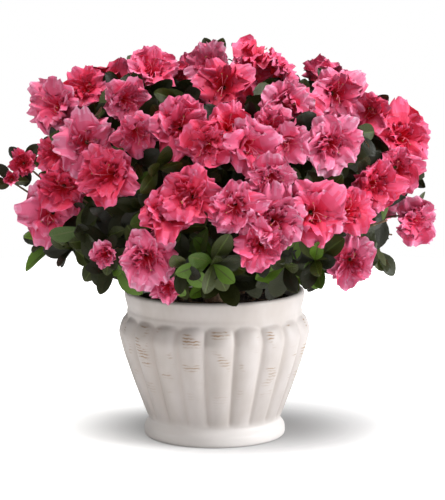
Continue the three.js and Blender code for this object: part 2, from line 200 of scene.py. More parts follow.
def facing(place, size, roll):
    """The way a bloom or a shoot looks."""
    bearing = math.atan2(place[0], -place[1])
    from_end = bearing
    if abs(bearing) > FRONT_HALF:
        from_end = bearing - math.copysign(math.pi, bearing)
    stray = min(1, max(0.35, (60 - size) / 16))
    turn = bearing - END_PULL * from_end + (roll() - 0.5) * 1.5 * stray
    high = min(1, max(-0.2, (place[2] - CROWN_CENTRE) / CROWN_RISE))
    nod = 0.05 + 0.75 * high**6 + (roll() - 0.5) * 1.1 * stray
    return vec(math.sin(turn) * math.cos(nod), -math.cos(turn) * math.cos(nod), math.sin(nod))


roll = seeded(7)
masses = []
for ring in RINGS:
    for i, side in enumerate(ring["sides"]):
        bearing = ring["first"] + 360 / len(ring["sides"]) * i
        masses.append({
            "level": ring["level"],
            "name": f"mass_{ring['level']}_{side}",
            "bough": f"bough_{ring['level']}_{side}",
            "root": ring["roots"][i % len(ring["roots"])],
            "hand": on_dome(bearing, ring["lift"], BOUGH_SHARE),
            "hub": on_dome(bearing, ring["lift"], HUB_SHARE),
            "tips": [],
        })
spots = []
for i in range(LATTICE_COUNT):
    height = 1 - LATTICE_DEPTH * (i + 0.5) / LATTICE_COUNT
    spots.append(((i * GOLDEN + 180) % 360 - 180, math.degrees(math.asin(height))))

blooms = [
    {"kind": "bloom", "place": vec(x, -depth_at(x, z), z), "size": size}
    for x, z, size in FRONT_BLOOMS
]
for bearing, lift in spots:
    place = on_dome(bearing, lift, 1, BLOOM_INSET)
    free = all(np.linalg.norm(b["place"] - place) > BLOOM_SPACING for b in blooms)
    is_front = place[1] < HAND_PLANTED_DEPTH and place[2] < HAND_PLANTED_TOP
    if free and not is_front and lift > LOWEST_BLOOM_LIFT:
        blooms.append({"kind": "bloom", "place": place, "size": BLOOM_SIZE * (0.9 + 0.3 * roll())})
shoots = []
for bearing, lift in spots:
    place = on_dome(bearing, lift, 1, SHOOT_INSET)
    free = all(np.linalg.norm(b["place"] - place) > SHOOT_CLEAR for b in blooms)
    if free and all(np.linalg.norm(s["place"] - place) > SHOOT_SPACING for s in shoots):
        shoots.append({"kind": "shoot", "place": place, "size": LEAF_LENGTH})
for count, reach, height in SKIRT:
    for i in range(count):
        turn = 2 * math.pi * (i + 0.5 * roll()) / count
        out = reach * (0.94 + 0.12 * roll())
        place = vec(out * math.sin(turn), -out * math.cos(turn), height + 10 * (roll() - 0.5))
        shoots.append({"kind": "shoot", "place": place, "size": LEAF_LENGTH})


def nearest_mass(place):
    return min(masses, key=lambda mass: np.linalg.norm(mass["hub"] - place))


for tip in blooms + shoots:
    tip["faces"] = facing(tip["place"], tip["size"], roll)
    nearest_mass(tip["place"])["tips"].append(tip)
print(len(blooms), "blooms and", len(shoots), "leafy shoots on", len(masses), "masses")

# %% [markdown]
# Hundreds of petals and leaves are one mesh in the end, because separate objects would be slow and
# copies that only refer to one mesh are lost when the model is exported. So a small tray collects
# rows of points, their faces and which finish each face takes, and is turned into a mesh at once.

# %% A tray that becomes a mesh
class Tray:
    def __init__(self):
        self.points, self.quads, self.slots, self.count = [], [], [], 0

    def add(self, points, quads, slots):
        self.points.append(points)
        self.quads.append(quads + self.count)
        self.slots.append(slots)
        self.count += len(points)

    def to_object(self, name, finishes):
        points = np.concatenate(self.points) * MM
        quads = np.concatenate(self.quads)
        mesh = bpy.data.meshes.new(name)
        mesh.vertices.add(len(points))
        mesh.vertices.foreach_set("co", points.astype(np.float32).ravel())
        mesh.loops.add(quads.size)
        mesh.loops.foreach_set("vertex_index", quads.astype(np.int32).ravel())
        mesh.polygons.add(len(quads))
        mesh.polygons.foreach_set("loop_start", np.arange(0, quads.size, 4, dtype=np.int32))
        for finish in finishes:
            mesh.materials.append(finish)
        mesh.polygons.foreach_set("material_index", np.concatenate(self.slots).astype(np.int32))
        mesh.update(calc_edges=True)
        mesh.validate()
        mesh.shade_smooth()
        made = bpy.data.objects.new(name, mesh)
        bpy.context.collection.objects.link(made)
        return made


def grid_quads(rows, columns, closed=False):
    """Faces over a grid of points, row by row. A closed grid joins its last column to its first."""
    across = columns if closed else columns - 1
    r, c = np.meshgrid(np.arange(rows - 1), np.arange(across), indexing="ij")
    a = r * columns + c
    b = r * columns + (c + 1) % columns
    return np.stack([a, b, b + columns, a + columns], axis=-1).reshape(-1, 4)


def tube(path, radii, sides):
    """Points round a path, ring by ring, without a twist."""
    path = np.asarray(path)
    along = np.gradient(path, axis=0)
    along /= np.linalg.norm(along, axis=1, keepdims=True)
    side = np.cross(along[0], vec(0.3, 0.2, 1))
    rings = []
    for centre, tangent, radius in zip(path, along, radii):
        side = unit(side - tangent * np.dot(side, tangent))
        other = np.cross(tangent, side)
        turn = np.linspace(0, 2 * math.pi, sides, endpoint=False)[:, None]
        rings.append(centre + radius * (np.cos(turn) * side + np.sin(turn) * other))
    return np.concatenate(rings)


def add_tube(tray, path, radii, sides, slot=0):
    quads = grid_quads(len(path), sides, closed=True)
    tray.add(tube(path, radii, sides), quads, np.full(len(quads), slot))


def bow(start, bend, end, steps):
    """Points along a curve that leaves the start towards the bend and comes in to the end."""
    t = np.linspace(0, 1, steps)[:, None]
    return (1 - t) ** 2 * start + 2 * t * (1 - t) * bend + t**2 * end


print("tray ready")

# %% [markdown]
# Colours are given as a paint chart would give them, from 0 to 255, and turned into the linear
# light that the renderer mixes. Every finish starts from the same helper, which makes a material
# with one main shader and hands back its parts.

# %% Paint chart and plain finish
def paint(*red_green_blue):
    shares = [c / 255 for c in red_green_blue]
    linear = [((c + 0.055) / 1.055) ** 2.4 if c > 0.04045 else c / 12.92 for c in shares]
    return [*linear, 1]


def new_finish(name, colour, roughness):
    finish = bpy.data.materials.new(name)
    finish.use_nodes = True
    shader = finish.node_tree.nodes["Principled BSDF"]
    shader.inputs["Base Color"].default_value = colour
    shader.inputs["Roughness"].default_value = roughness
    return finish, finish.node_tree, shader


def add_node(tree, kind, **values):
    node = tree.nodes.new(kind)
    for key, value in values.items():
        if key in node.inputs:
            node.inputs[key].default_value = value
        else:
            setattr(node, key, value)
    return node


print("paint chart ready")

# %% [markdown]
# Petals, leaves and bark all have a fine uneven surface that breaks up the light. It is one noise
# with two outputs, so it is made once as a node group and used with other numbers in each finish:
# a mask that changes the roughness, and a normal that dents the surface.

# %% Fine unevenness, shared by the plant's finishes
def make_grain_group():
    group = bpy.data.node_groups.new("surface_grain", "ShaderNodeTree")
    for label in ("Scale", "Low", "High", "Depth"):
        group.interface.new_socket(label, in_out="INPUT", socket_type="NodeSocketFloat")
    group.interface.new_socket("Mask", in_out="OUTPUT", socket_type="NodeSocketFloat")
    group.interface.new_socket("Normal", in_out="OUTPUT", socket_type="NodeSocketVector")
    ins, outs = group.nodes.new("NodeGroupInput"), group.nodes.new("NodeGroupOutput")
    place = group.nodes.new("ShaderNodeTexCoord")
    noise = add_node(group, "ShaderNodeTexNoise", Detail=3.0, Roughness=0.6)
    spread = add_node(group, "ShaderNodeMapRange")
    bump = add_node(group, "ShaderNodeBump", Strength=1.0)
    link = group.links.new
    link(place.outputs["Object"], noise.inputs["Vector"])
    link(ins.outputs["Scale"], noise.inputs["Scale"])
    link(noise.outputs["Fac"], spread.inputs["Value"])
    spread.inputs["From Min"].default_value = 0.3
    spread.inputs["From Max"].default_value = 0.7
    link(ins.outputs["Low"], spread.inputs["To Min"])
    link(ins.outputs["High"], spread.inputs["To Max"])
    link(noise.outputs["Fac"], bump.inputs["Height"])
    link(ins.outputs["Depth"], bump.inputs["Distance"])
    link(spread.outputs["Result"], outs.inputs["Mask"])
    link(bump.outputs["Normal"], outs.inputs["Normal"])
    return group


GRAIN = make_grain_group()


def add_grain(tree, shader, scale, low, high, depth):
    grain = tree.nodes.new("ShaderNodeGroup")
    grain.node_tree = GRAIN
    for label, value in (("Scale", scale), ("Low", low), ("High", high), ("Depth", depth)):
        grain.inputs[label].default_value = value
    tree.links.new(grain.outputs["Mask"], shader.inputs["Roughness"])
    tree.links.new(grain.outputs["Normal"], shader.inputs["Normal"])


print("grain group with", len(GRAIN.nodes), "nodes")

# %% [markdown]
# An azalea petal is deep rose in the throat and pales towards its ruffled edge. One picture of that
# could be wrapped on each petal, but dealing a dozen plain pinks out to the faces does the same and
# stays true when the model is exported. Petals are thin and soft, and a little sheen stands for the
# velvet of their fine hairs. Light that passes through them gathers in the throat, and a faint glow
# of the deepest pinks stands for that.

# %% Petal finishes
PETAL_PINKS = [
    (136, 5, 11), (160, 8, 19), (182, 13, 30), (200, 18, 43),
    (213, 27, 59), (222, 41, 78), (228, 57, 97), (232, 78, 121),
    (235, 104, 147), (238, 132, 171), (241, 165, 197), (243, 198, 219),
]
GLOWING_PINKS = 8  # from the deepest one on, each weaker than the last
petal_finishes = []
for i, pink in enumerate(PETAL_PINKS):
    finish, tree, shader = new_finish(f"petal_pink_{i + 1}", paint(*pink), 0.5)
    shader.inputs["Specular IOR Level"].default_value = 0.42
    shader.inputs["Sheen Weight"].default_value = 0.12
    shader.inputs["Sheen Roughness"].default_value = 0.4
    shader.inputs["Sheen Tint"].default_value = paint(255, 214, 228)
    shader.inputs["Emission Color"].default_value = paint(210, 32, 26)
    shader.inputs["Emission Strength"].default_value = 0.1 * max(0, 1 - i / GLOWING_PINKS)
    add_grain(tree, shader, scale=900, low=0.42, high=0.62, depth=0.0004)
    petal_finishes.append(finish)
STAMEN_COLOURS = {"filament_rose": (226, 112, 138), "anther_tan": (190, 140, 90)}
for name, colour in STAMEN_COLOURS.items():
    finish, tree, shader = new_finish(name, paint(*colour), 0.6)
    add_grain(tree, shader, scale=1500, low=0.5, high=0.8, depth=0.0003)
    petal_finishes.append(finish)
FILAMENT, ANTHER = len(PETAL_PINKS), len(PETAL_PINKS) + 1
print(len(petal_finishes), "blossom finishes")

# %% [markdown]
# A petal starts as a flat grid. Its long side is bent from the narrow tube of the flower out into
# the open face, its far edge is rounded and nicked, and a wave that grows towards the edge ruffles
# it. A grid bent by a formula suits this better than sculpting, because every petal can then be a
# little different.

# %% One petal
PETAL_ROWS_AT = vec(0, 0.28, 0.52, 0.72, 0.86, 0.95, 1)
PETAL_COLUMNS = 14
PETAL_QUADS = grid_quads(len(PETAL_ROWS_AT), PETAL_COLUMNS)


def petal(length, half_width, flare, ruffle, cup, roll):
    """Points of one petal on the flower's axis +Z, towards +X. One unit is the flower's width."""
    u, v = np.meshgrid(PETAL_ROWS_AT, np.linspace(-1, 1, PETAL_COLUMNS), indexing="ij")
    # How far along the petal each point lies, with a rounded and nicked far edge.
    nicks = np.array([0.035 * (roll() - 0.5) for _ in range(PETAL_COLUMNS)]) * smooth(0.8, 1, u)
    lobes = 0.03 * np.sin((2 + 2 * roll()) * math.pi * v + AROUND * roll()) * smooth(0.6, 1, u)
    nicks = nicks + lobes
    reach = u * (1 - 0.24 * np.abs(v) ** 2.8 * smooth(0.2, 1, u)) + nicks
    # The middle line, which leans out of the tube more and more, in small steps.
    fine = np.linspace(0, 1.2, 49)
    curl = 0.9 * roll() ** 2
    lean = 0.2 + (flare - 0.2) * smooth(0.15, 0.75, fine) + curl * smooth(0.6, 1.1, fine)
    out = 0.03 + np.concatenate([[0], np.cumsum(np.sin(lean[1:]) * length / 40)])
    up = np.concatenate([[0], np.cumsum(np.cos(lean[1:]) * length / 40)]) - 0.3
    r, z, lean_here = (np.interp(reach, fine, curve) for curve in (out, up, lean))
    # The width, and how far waves, crimps and the cup lift the sheet off its middle line.
    width = half_width * (0.2 + 0.8 * smooth(0.05, 0.7, u)) * (1 - 0.16 * smooth(0.84, 1, u))
    phase, waves = roll() * AROUND, 1.2 + 1.6 * roll()
    wave = 0.07 * u**2 * np.sin(waves * math.pi * v + phase) * (0.35 + 0.65 * np.abs(v))
    rim = np.maximum(smooth(0.66, 1, u), 0.7 * smooth(0.5, 1, np.abs(v)) * smooth(0.3, 0.8, u))
    crimp = 0.03 * rim * np.sin((3.4 + roll()) * v * math.pi + 7 * u + phase * 2)
    tilt = (roll() - 0.5) * width * v * smooth(0.2, 0.9, u)
    arch = 0.02 * np.cos(v * AROUND / 2) * u
    lift = ruffle * (wave + crimp) + cup * width * v**2 + arch + tilt
    points = np.stack([
        r - np.cos(lean_here) * lift, width * v * (1 - 0.1 * u), z + np.sin(lean_here) * lift,
    ], axis=-1)
    return points.reshape(-1, 3)


def petal_tones(points, pale, roll):
    """A pink per face: deep at the root, paler at the rim, painted paler where it lies open."""
    rows, columns = (PETAL_ROWS_AT[1:] + PETAL_ROWS_AT[:-1]) / 2, PETAL_COLUMNS - 1
    u, v = np.meshgrid(rows, np.linspace(-1, 1, columns), indexing="ij")
    a, b, c, d = (points[PETAL_QUADS[:, i]] for i in range(4))
    across = np.cross(c - a, d - b)
    open_face_painted_light = np.abs(across[:, 2]) / np.maximum(np.linalg.norm(across, axis=1), 1e-9)
    # A paler rim is partly the petal's own colour and partly a painted highlight.
    rim = np.maximum(smooth(0.82, 1, u), smooth(0.8, 0.95, np.abs(v)) * smooth(0.3, 0.7, u))
    tone = 4.4 + 1.6 * smooth(0, 0.4, u) + 1.2 * smooth(0.4, 0.95, u) + 1.3 * rim
    # Faces that lie open are painted paler, a painted highlight, and creased ones deeper, a painted
    # shade.
    return tone.ravel() + 2.2 * (open_face_painted_light - 0.6) + 0.5 * (roll() - 0.5) + pale


print("a petal has", len(PETAL_QUADS) * 2, "triangles")

# %% [markdown]
# A double flower is whorls of such petals on one short tube: five wide ones that lie open, five or
# six between them, then smaller and more crumpled ones that fill the throat, with a few stamens
# among them. A handful of different flowers is modelled once, and each bloom of the plant
# is then a turned and slightly warped copy of one of them. Older and paler blooms have all their
# pinks shifted, but never the finish of the stamens, so that one is marked as fixed.

# %% The model flowers
# Count, length, half width, flare and how far it varies, ruffle, cup, and how pale the pink is.
# The inner whorls are paler, a painted light that keeps the shaded throat from looking dark.
FULL_WHORLS = [
    (5, 0.70, 0.30, 1.50, 0.35, 1.2, 0.05, 0.2),
    (6, 0.62, 0.25, 1.15, 0.35, 1.3, 0.15, 0.2),
    (5, 0.52, 0.20, 0.95, 0.35, 1.5, 0.20, 0.2),
    (5, 0.44, 0.16, 0.75, 0.34, 1.6, 0.25, 0.4),
    (4, 0.36, 0.12, 0.50, 0.30, 1.6, 0.25, 0.6),
]
OPEN_WHORLS = [
    (5, 0.68, 0.28, 1.40, 0.35, 1.3, 0.05, 0.2),
    (5, 0.58, 0.23, 0.95, 0.40, 1.5, 0.2, 0.2),
    (4, 0.42, 0.14, 0.60, 0.30, 1.6, 0.3, 0.4),
]
HALF_WHORLS = [
    (5, 0.74, 0.26, 0.85, 0.28, 1.1, 0.35, 0.2),
    (5, 0.62, 0.20, 0.50, 0.24, 1.3, 0.45, 0.0),
    (3, 0.50, 0.14, 0.28, 0.15, 1.5, 0.5, 0.0),
]
BUD_WHORLS = [
    (5, 0.80, 0.18, 0.34, 0.10, 0.7, 0.7, 0.0),
    (4, 0.68, 0.14, 0.20, 0.06, 0.7, 0.7, 0.0),
]
FIXED_FINISH = 100  # added to a finish that no shift of pinks may change
STAMEN_SIDES = 4


def model_flower(whorls, seed, stamens):
    """Points, faces and tones of a flower one unit wide, with its face to +Z."""
    roll = seeded(seed)
    tray = Tray()
    tones = []
    for w, (count, length, half, flare, vary, ruffle, cup, pale) in enumerate(whorls):
        first = roll() * 0.5 + w * math.pi / 5
        for i in range(count):
            points = petal(
                length * (0.86 + 0.24 * roll()), half * (0.82 + 0.34 * roll()),
                flare + vary * (roll() - 0.5) * 2, ruffle, cup + 0.3 * (roll() - 0.5), roll,
            )
            turn = first + 2 * math.pi * i / count + 0.3 * (roll() - 0.5)
            points = points @ turn_about_z(turn).T
            tray.add(points, PETAL_QUADS, np.zeros(len(PETAL_QUADS)))
            tones.append(petal_tones(points, pale + 0.6 * (roll() - 0.5), roll))
    for _ in range(stamens):
        add_stamen(tray, tones, roll)
    return np.concatenate(tray.points), np.concatenate(tray.quads), np.concatenate(tones)


def add_stamen(tray, tones, roll):
    """A thin filament that leans out of the throat, with its anther as a small swelling."""
    turn, lean, tall = roll() * AROUND, 0.08 + 0.12 * roll(), 0.34 + 0.1 * roll()
    out = vec(math.cos(turn), math.sin(turn), 0)
    start, end = vec(0, 0, -0.2), vec(0, 0, -0.2 + tall) + out * lean
    path = bow(start, vec(0, 0, tall * 0.5), end, 5)
    path = np.concatenate([path, [end + vec(0, 0, 0.012), end + vec(0, 0, 0.024)]])
    add_tube(tray, path, [0.005] * 5 + [0.012, 0.004], STAMEN_SIDES)
    finishes = np.array([FILAMENT, ANTHER], dtype=float) + FIXED_FINISH
    tones.append(np.repeat(finishes, [4 * STAMEN_SIDES, 2 * STAMEN_SIDES]))


flower_models = {
    "full": [model_flower(FULL_WHORLS, seed, 2) for seed in (21, 22, 23, 24)],
    "open": [model_flower(OPEN_WHORLS, seed, 4) for seed in (31, 32, 33)],
    "half": [model_flower(HALF_WHORLS, seed, 0) for seed in (41, 42)],
    "bud": [model_flower(BUD_WHORLS, seed, 0) for seed in (51, 52)],
}
print("a full flower has", len(flower_models["full"][0][1]) * 2, "triangles")

# %% [markdown]
# Each bloom is set on the end of its twig. The narrowest ones are buds, and those a little wider
# are still opening. The copy is squashed and waved a little, which hides that the models repeat,
# and its pinks are shifted as a whole, because older flowers are paler.

# %% Planting the blooms
BUD_SIZE, OPENING_SIZE = 26, 34  # blooms narrower than these are buds, or half open
OPEN_SHARE = 0.3  # of the rest are looser flowers, with fewer petals
SPREAD_PETALS = 1.1  # a flower's petals reach a little past the size that the plan gives it
AGE_SPREAD = 1.8  # steps of pink between the youngest and the oldest flower
END_FROM, END_TO = 100, 145  # where the ends of the crown begin, from its middle


def kind_of_flower(size, roll):
    if size < BUD_SIZE:
        return "bud"
    if size < OPENING_SIZE:
        return "half"
    return "open" if roll() < OPEN_SHARE else "full"


def frame_towards(direction, spin):
    """Three axes with the last one along a direction, turned about it."""
    helper = vec(0, 0, 1) if abs(direction[2]) < 0.9 else vec(0, 1, 0)
    side = unit(np.cross(helper, direction))
    other = np.cross(direction, side)
    x = side * math.cos(spin) + other * math.sin(spin)
    return np.stack([x, np.cross(direction, x), direction])


def turned_to_front(tip):
    """Blooms at both ends of the front bend round on their stalks, to show their faces."""
    from_middle = abs(tip["place"][0] - CROWN_SIDE)
    at_end = smooth(END_FROM, END_TO, from_middle) * (tip["place"][1] < 1)
    return unit(tip["faces"] + 0.9 * at_end * vec(0, -1, 0.1))


def plant_bloom(tray, tip, roll):
    models = flower_models[kind_of_flower(tip["size"], roll)]
    points, quads, tones = models[int(roll() * len(models))]
    warp = np.array([roll() - 0.5 for _ in range(6)])
    bent = points * (1 + 0.2 * warp[:3])
    bent[:, 2] += 0.10 * warp[3] * np.sin(5 * points[:, 0] + 6 * warp[4])
    bent[:, 2] += 0.3 * warp[5] * points[:, 1] ** 2
    axes = frame_towards(turned_to_front(tip), roll() * AROUND)
    placed = tip["place"] + bent @ axes * tip["size"] * SPREAD_PETALS
    pinks = np.clip(np.round(tones + AGE_SPREAD * (roll() - 0.5)), 0, len(PETAL_PINKS) - 1)
    tray.add(placed, quads, np.where(tones >= FIXED_FINISH, tones - FIXED_FINISH, pinks))


bloom_roll = seeded(70)
blossom = {}
for level in LEVELS:
    tray = Tray()
    for mass in masses:
        if mass["level"] != level:
            continue
        for tip in mass["tips"]:
            if tip["kind"] == "bloom":
                plant_bloom(tray, tip, bloom_roll)
    blossom[level] = tray.to_object(f"blossom_{level}", petal_finishes)
    print(f"blossom_{level} has", len(blossom[level].data.polygons) * 2, "triangles")

# %% [markdown]
# Azalea leaves are small ovals, dark and satiny above, with a paler midrib, and they stand in
# tufts under each flower. The greens are dealt out leaf by leaf: most are dark, a few are fresh,
# and some are a grey green, a painted sheen for leaves that catch the light.

# %% Leaf finishes
LEAF_GREENS = [
    (25, 27, 7), (38, 43, 10), (52, 60, 14), (60, 84, 20), (84, 116, 30),  # from dark to fresh
    (78, 82, 48),  # a grey painted sheen
    (74, 88, 34),  # the midrib
]
PAINTED_SHEEN, MIDRIB = 5, 6
leaf_finishes = []
for i, green in enumerate(LEAF_GREENS):
    finish, tree, shader = new_finish(f"leaf_green_{i + 1}", paint(*green), 0.42)
    shader.inputs["Specular IOR Level"].default_value = 0.32
    add_grain(tree, shader, scale=700, low=0.3, high=0.48, depth=0.0005)
    leaf_finishes.append(finish)
print(len(leaf_finishes), "leaf finishes")

# %% [markdown]
# One leaf is again a bent grid: narrow at its stalk, widest past the middle, folded up a little on
# both sides of the midrib and curled down at the tip. Four models with other folds and curls are
# enough.

# %% The model leaves
LEAF_ROWS_AT = vec(0, 0.1, 0.25, 0.42, 0.58, 0.74, 0.87, 0.96, 1)
LEAF_COLUMNS_AT = vec(-1, -0.55, -0.09, 0.09, 0.55, 1)
LEAF_QUADS = grid_quads(len(LEAF_ROWS_AT), len(LEAF_COLUMNS_AT))


def model_leaf(width, fold, curl, twist):
    """A leaf one unit long from its stalk at the origin along +X, with its face to +Z."""
    u, v = np.meshgrid(LEAF_ROWS_AT, LEAF_COLUMNS_AT, indexing="ij")
    half = width / 2 * np.maximum(np.sin(math.pi * u**1.4) ** 0.62, 0.06 * (1 - u) + 0.02)
    y = v * half
    groove = -0.012 * (np.abs(v) < 0.2) * np.sin(math.pi * u)
    z = fold * np.abs(y) + groove - curl * u**2 + 0.25 * curl * u
    z = z + 0.012 * np.sin(9 * u + 3 * v)
    turn = twist * u
    y, z = y * np.cos(turn) - z * np.sin(turn), y * np.sin(turn) + z * np.cos(turn)
    return np.stack([u - 0.1 * curl * u**2, y, z], axis=-1).reshape(-1, 3)


leaf_models = [
    model_leaf(0.50, 0.25, 0.10, 0.10), model_leaf(0.54, 0.15, 0.22, -0.20),
    model_leaf(0.46, 0.35, 0.16, 0.25), model_leaf(0.52, 0.10, 0.30, 0.00),
]
LEAF_COLUMN_OF_FACE = np.tile(np.arange(len(LEAF_COLUMNS_AT) - 1), len(LEAF_ROWS_AT) - 1)
MIDRIB_COLUMN = 2
print("a leaf has", len(LEAF_QUADS) * 2, "triangles")

# %% [markdown]
# Leaves leave a twig one by one, each turned by the golden angle from the last, which is how a
# plant keeps them out of each other's shade. A tuft is a few of them close together. A leaf is left
# out where it would stand in a flower, hide the heart of one that faces the viewer, or close one of
# the gaps through which daylight shows.

# %% Tufts of leaves
LOWEST_LEAF = 148  # leaves turn up rather than hang over the rim of the pot
LEAF_ROOM = 7  # two leaves with their middles in one cube of this size would cut each other
GREEN_SHARES = [0.26, 0.56, 0.8, 0.92]  # where the luck of a leaf passes from one green to the next
PAINTED_SHEEN_SHARE = 0.08
MIDRIB_FROM = 2  # on the two darkest greens the midrib doesn't show
# Middle across, height and radius of each place where daylight shows, on the plane of the stem.
DAYLIGHT = [
    (-88, 354, 11), (-28, 347, 8), (-32, 338, 6), (84, 349, 9), (150, 341, 8), (168, 328, 8),
    (180, 322, 8), (-194, 223, 8), (-167, 163, 6), (-134, 160, 10), (-92, 137, 10), (175, 176, 15),
    (186, 164, 9), (166, 216, 8), (163, 199, 8), (173, 193, 6), (109, 143, 8), (126, 143, 8),
    (140, 151, 7), (-103, 192, 8), (-125, 204, 4), (148, 282, 5), (108, 300, 4), (123, 180, 5),
    (129, 189, 4), (83, 164, 4), (-11, 193, 4), (-117, 226, 3), (-118, 341, 8), (66, 359, 8),
    (-182, 282, 12), (-190, 218, 14), (178, 204, 12),
]
daylight_at = np.array([(x, z) for x, z, _ in DAYLIGHT])
daylight_wide = np.array([wide for _, _, wide in DAYLIGHT])


def as_seen(points):
    """Where each point shows to a viewer at the front, on the plane of the stem."""
    away = points - VIEWER
    seen = VIEWER + away * (-VIEWER[1] / away[:, 1])[:, None]
    return seen[:, [0, 2]]


bloom_hearts = np.array([bloom["place"] + bloom["faces"] * 4 for bloom in blooms])
bloom_reach = np.array([0.4 * bloom["size"] for bloom in blooms])
hearts_seen = as_seen(bloom_hearts)
heart_shows = bloom_hearts[:, 1] < 0


def is_in_the_way(spot, direction, length):
    """Whether a leaf would stand in or before the face of a flower, or close a gap in the crown."""
    along = np.array([spot + direction * length * share for share in (0.5, 0.8, 1)])
    away = np.linalg.norm(bloom_hearts[None] - along[:, None], axis=2)
    seen = as_seen(along)[:, None]
    is_before = along[:, None, 1] < bloom_hearts[None, :, 1] + 4
    is_over = np.linalg.norm(seen - hearts_seen[None], axis=2) < bloom_reach * 0.95
    hides_heart = is_over & is_before & heart_shows
    closes = np.linalg.norm(seen - daylight_at[None], axis=2) < daylight_wide
    return bool((away < bloom_reach).any() or hides_heart.any() or closes.any())


taken_rooms = set()


def plant_leaf(tray, spot, direction, outlook, length, roll):
    side = unit(np.cross(outlook, direction))
    face = np.cross(direction, side)
    points = leaf_models[int(roll() * 4)]
    placed = spot + length * (points @ np.stack([direction, side, face]))
    luck = roll()
    room = tuple(((spot + direction * length * 0.55) // LEAF_ROOM).astype(int))
    if room in taken_rooms or is_in_the_way(spot, direction, length):
        return
    taken_rooms.add(room)
    luck = luck * (1 - 0.25 * smooth(230, 260, spot[2]))  # leaves high among the blooms get darker greens, a painted shade
    luck = luck + 0.16 * (1 - smooth(165, 205, spot[2]))  # and the lowest ones get lighter greens
    green = int(np.searchsorted(GREEN_SHARES, luck, side="right"))
    green = PAINTED_SHEEN if roll() < PAINTED_SHEEN_SHARE else green
    has_midrib = (LEAF_COLUMN_OF_FACE == MIDRIB_COLUMN) & (green >= MIDRIB_FROM)
    tray.add(placed, LEAF_QUADS, np.where(has_midrib, MIDRIB, green))


def plant_tuft(tray, end, outlook, tuft, roll):
    """A whorl of leaves round the end of a twig, the lower ones wider open and longer."""
    count, length, (narrow, wide) = tuft
    first = roll() * AROUND
    side = unit(np.cross(vec(0.1, 0.2, 1), outlook))
    for i in range(count):
        low = i / (count - 1)
        open_by = math.radians(narrow + (wide - narrow) * low + 16 * (roll() - 0.5))
        out = turned(side, outlook, first + i * math.radians(GOLDEN))
        direction = unit(out * math.sin(open_by) + outlook * math.cos(open_by) + vec(0, 0, 0.12))
        spot = end - outlook * (1.5 + 7 * low)
        size = length * (0.72 + 0.3 * low + 0.16 * roll())
        direction[2] = max(direction[2], (LOWEST_LEAF - spot[2]) / size)
        plant_leaf(tray, spot, unit(direction), outlook, size, roll)


print("tufts ready")

# %% [markdown]
# The inside of the crown is filled with leafy side shoots, which are what keeps an azalea from
# looking hollow. They are spread over smaller domes inside the outer one. A tuft is told by how
# many leaves it has, how long they are and between which angles they open.

# %% Twigs and leaves of each level
INNER_DOMES = [(0.86, 110), (0.66, 80), (0.45, 40)]  # share of the outer dome, and shoots on it
INNER_DEPTH, INNER_INSET, INNER_SCATTER = 1.3, SHOOT_INSET * 0.6, 14
FILLER_CLEAR = 22  # from the nearest bloom
FILLER_SIZE = 50  # it strays from the way out as a bloom of this width does
SPRIG_BLOOM = 30  # smaller blooms end thin sprigs, and have smaller leaves
BLOOM_TUFT, SPRIG_TUFT = (7, 31, (62, 92)), (7, 21, (62, 92))
SHOOT_TUFT, FILLER_TUFT = (9, 33, (28, 88)), (8, 31, (25, 95))
TWIG_RADII, SIDE_SHOOT_RADII = (1.7, 0.9), (1.2, 0.7)
BARK_SLOT, GREEN_SLOT = 0, 1


def twig_path(start, end, outlook, steps=6):
    """A twig that sets off flat and turns up into its tip."""
    far = np.linalg.norm(end - start)
    bend = start + 0.62 * (end - start) - outlook * 0.12 * far - vec(0, 0, 0.03 * far)
    return bow(start, bend, end, steps)


leaf_roll = seeded(91)
fillers = {level: [] for level in LEVELS}
for share, count in INNER_DOMES:
    for i in range(count):
        lift = math.degrees(math.asin(1 - INNER_DEPTH * (i + 0.5) / count))
        place = on_dome((i * GOLDEN) % 360, lift, share, INNER_INSET)
        place = place + np.array([leaf_roll() - 0.5 for _ in range(3)]) * INNER_SCATTER
        near = nearest_mass(place)
        if all(np.linalg.norm(bloom["place"] - place) > FILLER_CLEAR for bloom in blooms):
            fillers[near["level"]].append((near, place))

leaves, twigs = {}, {}
bark_finish, bark_tree, bark_shader = new_finish("twig_bark", paint(112, 84, 60), 0.75)
green_twig_finish, tree, shader = new_finish("young_twig", paint(84, 88, 46), 0.6)
add_grain(tree, shader, scale=900, low=0.5, high=0.75, depth=0.0006)
for level in LEVELS:
    leaf_tray, twig_tray = Tray(), Tray()
    for mass in masses:
        if mass["level"] != level:
            continue
        for tip in mass["tips"]:
            bloom = tip["kind"] == "bloom"
            end = tip["place"] - tip["faces"] * (0.3 * tip["size"] if bloom else 2)
            path = twig_path(mass["hub"], end, tip["faces"])
            add_tube(twig_tray, path, np.linspace(*TWIG_RADII, len(path)), 6, BARK_SLOT)
            tuft = SHOOT_TUFT
            if bloom:
                tuft = BLOOM_TUFT if tip["size"] > SPRIG_BLOOM else SPRIG_TUFT
            foot = end + tip["faces"] * (2 if bloom else 3)
            plant_tuft(leaf_tray, foot, tip["faces"], tuft, leaf_roll)
    for mass, place in fillers[level]:
        outlook = facing(place, FILLER_SIZE, leaf_roll)
        path = twig_path(mass["hub"], place, outlook, 5)
        add_tube(twig_tray, path, np.linspace(*SIDE_SHOOT_RADII, len(path)), 5, GREEN_SLOT)
        plant_tuft(leaf_tray, place, outlook, FILLER_TUFT, leaf_roll)
    leaves[level] = leaf_tray.to_object(f"leaves_{level}", leaf_finishes)
    twigs[level] = twig_tray.to_object(f"twigs_{level}", [bark_finish, green_twig_finish])
    print(f"leaves_{level} has", len(leaves[level].data.polygons) * 2, "triangles")

# %% [markdown]
# The short trunk flares where it meets the soil, and the boughs leave it one above the other. Their
# bark is thin and flaky, with fine lengthwise furrows. A tube with many sides is pushed in and out
# by noise, so the relief is real and also shows at the edges.

# %% Trunk and boughs
TRUNK_SIDES, BOUGH_SIDES, STEM_SIDES = 36, 14, 10
TRUNK_RADII = (8.4, 6.2)  # above the flare, and at the fork
FLARE, FLARE_FALL = 4.6, 9


